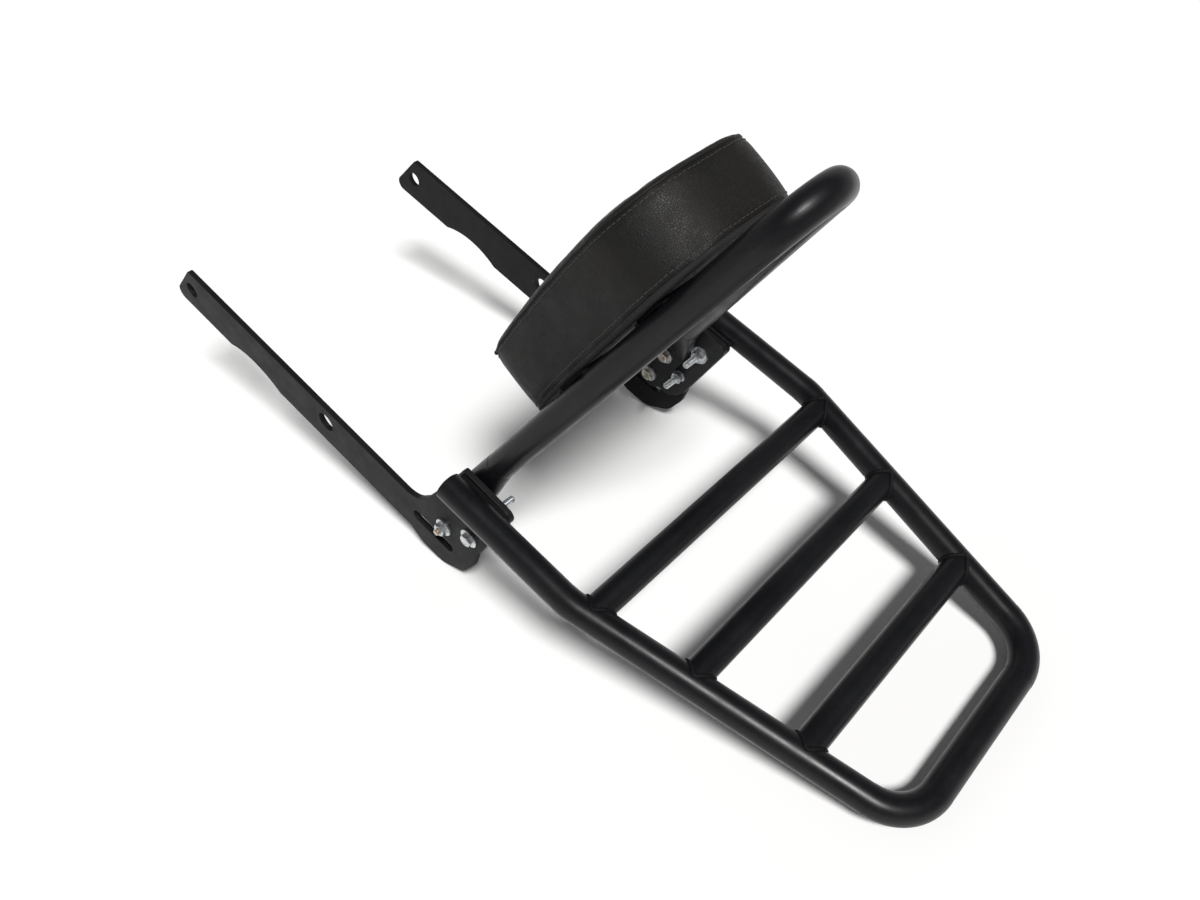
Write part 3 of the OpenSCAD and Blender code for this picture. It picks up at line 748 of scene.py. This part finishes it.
def cloth_pad():
    o = pad_solid("cushion_cover")
    rm = o.modifiers.new("remesh", "REMESH")
    rm.mode = "VOXEL"
    rm.voxel_size = 0.0042
    rm.use_smooth_shade = True
    apply_mods(o)
    start = [v.co.copy() for v in o.data.vertices]
    # the rear rim and the seams' lines are held; the rest fills out
    vg = o.vertex_groups.new(name="held")
    for i, c in enumerate(start):
        x, s, d = pad_coords(c)
        if d < PAD_BACK + 3.0:
            vg.add([i], 1.0, "REPLACE")
        elif abs(d - SIDE_TOP) < 3.0 and near_loop(x, s)[0] < 6:
            vg.add([i], 0.7, "REPLACE")
    cl = o.modifiers.new("cloth", "CLOTH")
    cl.settings.use_pressure = True
    cl.settings.uniform_pressure_force = 4.0
    cl.settings.effector_weights.gravity = 0.0
    cl.settings.vertex_group_mass = "held"
    cl.settings.mass = 0.25
    cl.settings.tension_stiffness = 22
    cl.settings.compression_stiffness = 22
    cl.settings.bending_stiffness = 1.2
    cl.settings.quality = 6
    cl.point_cache.frame_start, cl.point_cache.frame_end = 1, 20
    sc = bpy.context.scene
    for f in range(1, 21):
        sc.frame_set(f)
    dg = bpy.context.evaluated_depsgraph_get()
    ev = o.evaluated_get(dg).data
    moved = [v.co.copy() for v in ev.vertices]
    o.modifiers.clear()
    o.vertex_groups.clear()
    sc.frame_set(1)
    cap = 0.0026
    for v, a, b in zip(o.data.vertices, start, moved):
        t = b - a
        if t.length > cap:
            t *= cap / t.length
        v.co = a + t
    shape_pad(o)
    sub = o.modifiers.new("smooth", "SUBSURF")
    sub.levels = sub.render_levels = 1
    apply_mods(o)
    o.data.polygons.foreach_set("use_smooth", [True] * len(o.data.polygons))
    return o


LOOP_CACHE = {}


def pad_coords(c):
    """(x, s, d) of a point of the pad, with pad_pt's shaping taken out."""
    w = c / MM - O
    x, s, dd = w.x, w.dot(U), w.dot(N)
    q = min(1.0, max(0.0, (s - PAD_LOW) / (PAD_HIGH - PAD_LOW)))
    front = -2.5 * (1 - q) + 4.5 * math.sin(math.pi * q)
    back = -6.0 * max(0.0, 1 - q / 0.32) ** 1.3
    thick = SIDE_TOP - PAD_BACK
    d = (dd - back - PAD_BACK) / (1 + (front - back) / thick) + PAD_BACK
    return x, s, d


def near_loop(x, s):
    """Distance inwards from the pad outline and the place along it, in mm."""
    if "pts" not in LOOP_CACHE:
        pts, total = pad_loop(0.0, 60)
        LOOP_CACHE["pts"], LOOP_CACHE["step"] = pts, total / len(pts)
    pts, step = LOOP_CACHE["pts"], LOOP_CACHE["step"]
    best, bi = 1e18, 0
    for i, p in enumerate(pts):
        d = (p.x - x) ** 2 + (p.y - s) ** 2
        if d < best:
            best, bi = d, i
    n = len(pts)
    t = (pts[(bi + 1) % n] - pts[bi - 1]).normalized()
    inward = Vector((-t.y, t.x))
    return (Vector((x, s)) - pts[bi]).dot(inward), bi * step


def shape_pad(o):
    """Seam channels, gentle puckers along them and two soft folds."""
    for v in o.data.vertices:
        x, s, d = pad_coords(v.co)
        ins, along = near_loop(x, s)
        if ins < 14 and d > PAD_BACK + 4:
            # side wall: slight pull-in at the front seam line
            g = math.exp(-((d - (SIDE_TOP - 2.2)) / 1.9) ** 2)
            pucker = 0.5 + 0.5 * math.sin(along * 2 * math.pi / 7.5)
            side = side_dir(along)
            v.co += side * (0.9 + 0.35 * pucker) * g * MM
            wave = math.sin(along * 0.045 + 0.6) * math.sin((d - PAD_BACK) / (SIDE_TOP - PAD_BACK) * math.pi)
            v.co += side * 0.55 * wave * MM
            # rear seam line
            g2 = math.exp(-((d - (PAD_BACK + 5.0)) / 1.6) ** 2)
            v.co += side * (0.8 + 0.3 * pucker) * g2 * MM


def side_dir(along):
    pts, step = LOOP_CACHE["pts"], LOOP_CACHE["step"]
    i = int(along / step) % len(pts)
    t = (pts[(i + 1) % len(pts)] - pts[i - 1]).normalized()
    return Vector((1, 0, 0)) * (-t.y) + U * t.x


SKIN = {}


def on_skin(p, lift):
    """The nearest point of the finished cover, lifted along its normal."""
    loc, nor, _, _ = SKIN["tree"].find_nearest(p)
    return loc + nor * lift * MM


def edge_path(inset, d, per=90, lift=0.3):
    loop, total = pad_loop(inset, per)
    pts = [on_skin(pad_pt(p.x, p.y, d), lift) for p in loop]
    n = len(pts)
    for _ in range(3):
        pts = [(pts[i - 1] + pts[i] * 2 + pts[(i + 1) % n]) / 4 for i in range(n)]
    return pts


def seam_rolls():
    """Turned edges of the cover: a thin front ridge and a thin rear welt."""
    soup = Soup()
    soup.tube(edge_path(1.0, SIDE_TOP + 0.2, 90, 0.1), lambda i: (0.95 + 0.05 * math.sin(i * 0.9)) * MM, 12, closed=True)
    # the lapped end of the front ridge, at the lower left corner
    loop, _ = pad_loop(1.0, 90)
    k = min(range(len(loop)), key=lambda i: loop[i].y * 0.5 - loop[i].x)
    path = [on_skin(pad_pt(loop[(k + j) % len(loop)].x, loop[(k + j) % len(loop)].y, SIDE_TOP + 0.4), 0.7) for j in range(-2, 3)]
    soup.tube(path, lambda i: (0.8, 1.3, 1.5, 1.3, 0.8)[i] * MM, 12)
    front = add_mesh("front_seam_ridge", soup.v, soup.f, M_EDGE)
    soup = Soup()
    soup.tube(edge_path(1.4, PAD_BACK + 2.2, 90, 0.25), lambda i: (1.0 + 0.05 * math.sin(i * 0.8)) * MM, 10, closed=True)
    rear = add_mesh("rear_seam_welt", soup.v, soup.f, M_WELT)
    return front, rear


def stitches(name, inset, d, length=3.0, gap=1.1, r=0.3):
    """One row of thread stitches following the outline."""
    soup = Soup()
    loop, total = pad_loop(inset, 150)
    n = len(loop)
    count = int(total / (length + gap))

    def at(a):
        f = (a / total * n) % n
        i = int(f)
        return loop[i].lerp(loop[(i + 1) % n], f - i)
    for k in range(count):
        a0 = total * k / count
        path = []
        for j in range(6):
            q = j / 5
            p = at(a0 + q * length)
            path.append(on_skin(pad_pt(p.x, p.y, d + 0.12 * math.sin(k * 1.7)), 0.5 * math.sin(math.pi * q) - 0.12))
        soup.tube(path, r * MM, 6)
    return add_mesh(name, soup.v, soup.f, M_THREAD)


def board():
    """The plywood board, its edges eased, inside the cover."""
    rows = []
    for ins, d in ((40, 0.6), (9.0, 0.6), (7.4, 0.9), (7.0, 1.6), (7.0, BOARD_T - 0.9), (7.4, BOARD_T - 0.2), (9.0, BOARD_T), (40, BOARD_T)):
        loop, _ = pad_loop(ins, 40)
        rows.append([pad_pt(p.x, p.y, PAD_BACK + d) for p in loop])
    soup = Soup()
    soup.grid(rows, True, False, True)
    return add_mesh("plywood_board", soup.v, soup.f, M_BOARD)


def back_panel():
    """Lining stretched over the rear of the board, tucked under the rim."""
    rows = []
    for ins, d in ((1.6, PAD_BACK + 3.4), (1.7, PAD_BACK + 1.6), (2.4, PAD_BACK + 0.5), (4.0, PAD_BACK - 0.1), (9, PAD_BACK - 0.3),
                   (16, PAD_BACK - 0.3), (26, PAD_BACK - 0.28), (40, PAD_BACK - 0.28)):
        loop, _ = pad_loop(ins, 60)
        rows.append([pad_pt(p.x, p.y, d + (0.16 * math.sin(i * 0.55) if 8 < ins < 20 else 0)) for i, p in enumerate(loop)])
    soup = Soup()
    soup.grid(rows, True, False, True)
    o = add_mesh("rear_cover_turnover", soup.v, soup.f, M_BACK)
    so = o.modifiers.new("thick", "SOLIDIFY")
    so.thickness = 0.0006
    so.offset = 0.0
    apply_mods(o)
    o.data.polygons.foreach_set("use_smooth", [True] * len(o.data.polygons))
    return o


# ---------------------------------------------------------------- build
ROOT = "root"
pieces = plates() + [cross_bar_welds(), plate_welds(), strap_welds()]
for side, s in (("left", 1), ("right", -1)):
    b = plate_bolt_set("plate_bolt_" + side + "_threaded", s)
    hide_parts("plate_bolts_" + side)
    pieces.append(b)
    b = leg_bolt_set("leg_bolt_" + side + "_threaded", s)
    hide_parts("leg_bolts_" + side)
    pieces.append(b)

cushion = cloth_pad()
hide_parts("pad_cushion")
pieces.append(cushion)
from mathutils.bvhtree import BVHTree
SKIN["tree"] = BVHTree.FromPolygons([v.co.copy() for v in cushion.data.vertices],
                                    [tuple(q.vertices) for q in cushion.data.polygons])
front_roll, rear_welt = seam_rolls()
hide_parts("pad_piping_front")
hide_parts("pad_piping_rear")
pieces += [front_roll, rear_welt,
           stitches("front_stitches", 0.9, SIDE_TOP - 3.4),
           stitches("rear_stitches", 0.7, PAD_BACK + 6.4),
           back_panel()]
wood = board()
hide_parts("pad_board")
pieces.append(wood)
for p in pieces:
    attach(p, ROOT)

# ---------------------------------------------------------------- stage
FA = math.radians(18.72)
FP = Vector((0, 0.35256, -0.0327))
FU = Vector((0, math.cos(FA), math.sin(FA)))


def floor():
    verts, faces = [], []
    ys = [-9.0, -3.2, -1.5, -0.6, 0.0, 0.3, 0.63]
    xs = [-9.0, -3.2, -1.6, -0.6, 0.0, 0.7, 1.7, 5.0]
    for y in ys:
        for x in xs:
            verts.append(FP + FU * y + Vector((x, 0, 0)))
    n = len(xs)
    for i in range(len(ys) - 1):
        for j in range(n - 1):
            a = i * n + j
            faces.append((a, a + 1, a + n + 1, a + n))
    me = bpy.data.meshes.new("floor")
    me.from_pydata([tuple(v) for v in verts], [], faces)
    o = bpy.data.objects.new("floor", me)
    bpy.context.scene.collection.objects.link(o)
    m = Mat("floor_white")
    c = m.ramp(m.noise(3, 2), [(0.3, (0.86, 0.86, 0.86)), (0.7, (0.88, 0.88, 0.88))])
    m.set(Base_Color=c, Roughness=0.9, Specular_IOR_Level=0.1)
    me.materials.append(m.m)
    return o


floor()

world = bpy.data.worlds.new("studio")
world.use_nodes = True
bpy.context.scene.world = world
bg = world.node_tree.nodes["Background"]
bg.inputs["Color"].default_value = (1.0, 1.0, 1.0, 1)
# pale round the horizon, dim overhead, so the key keeps its shadows
wt = world.node_tree
wc = wt.nodes.new("ShaderNodeTexCoord")
ws = wt.nodes.new("ShaderNodeSeparateXYZ")
wr = wt.nodes.new("ShaderNodeMapRange")
wr.interpolation_type = "SMOOTHSTEP"
for key_name, value in (("From Min", 0.22), ("From Max", 0.62), ("To Min", 0.45), ("To Max", 0.09)):
    wr.inputs[key_name].default_value = value
wt.links.new(wc.outputs["Generated"], ws.inputs[0])
wt.links.new(ws.outputs["Z"], wr.inputs["Value"])
wt.links.new(wr.outputs["Result"], bg.inputs["Strength"])


sun = bpy.data.lights.new("key", "SUN")
sun.energy = 3.95
sun.angle = math.radians(14)
sun.color = (1.0, 0.995, 0.985)
key = bpy.data.objects.new("key", sun)
bpy.context.scene.collection.objects.link(key)
key.location = (0.44, 0.96, 2.0)
key.rotation_euler = Vector((-0.262, -0.24, -1.0)).to_track_quat("-Z", "Y").to_euler()

vs = bpy.context.scene.view_settings
vs.view_transform = "Standard"
vs.look = "None"
vs.exposure = 0.0
vs.gamma = 1.0

bpy.context.view_layer.update()
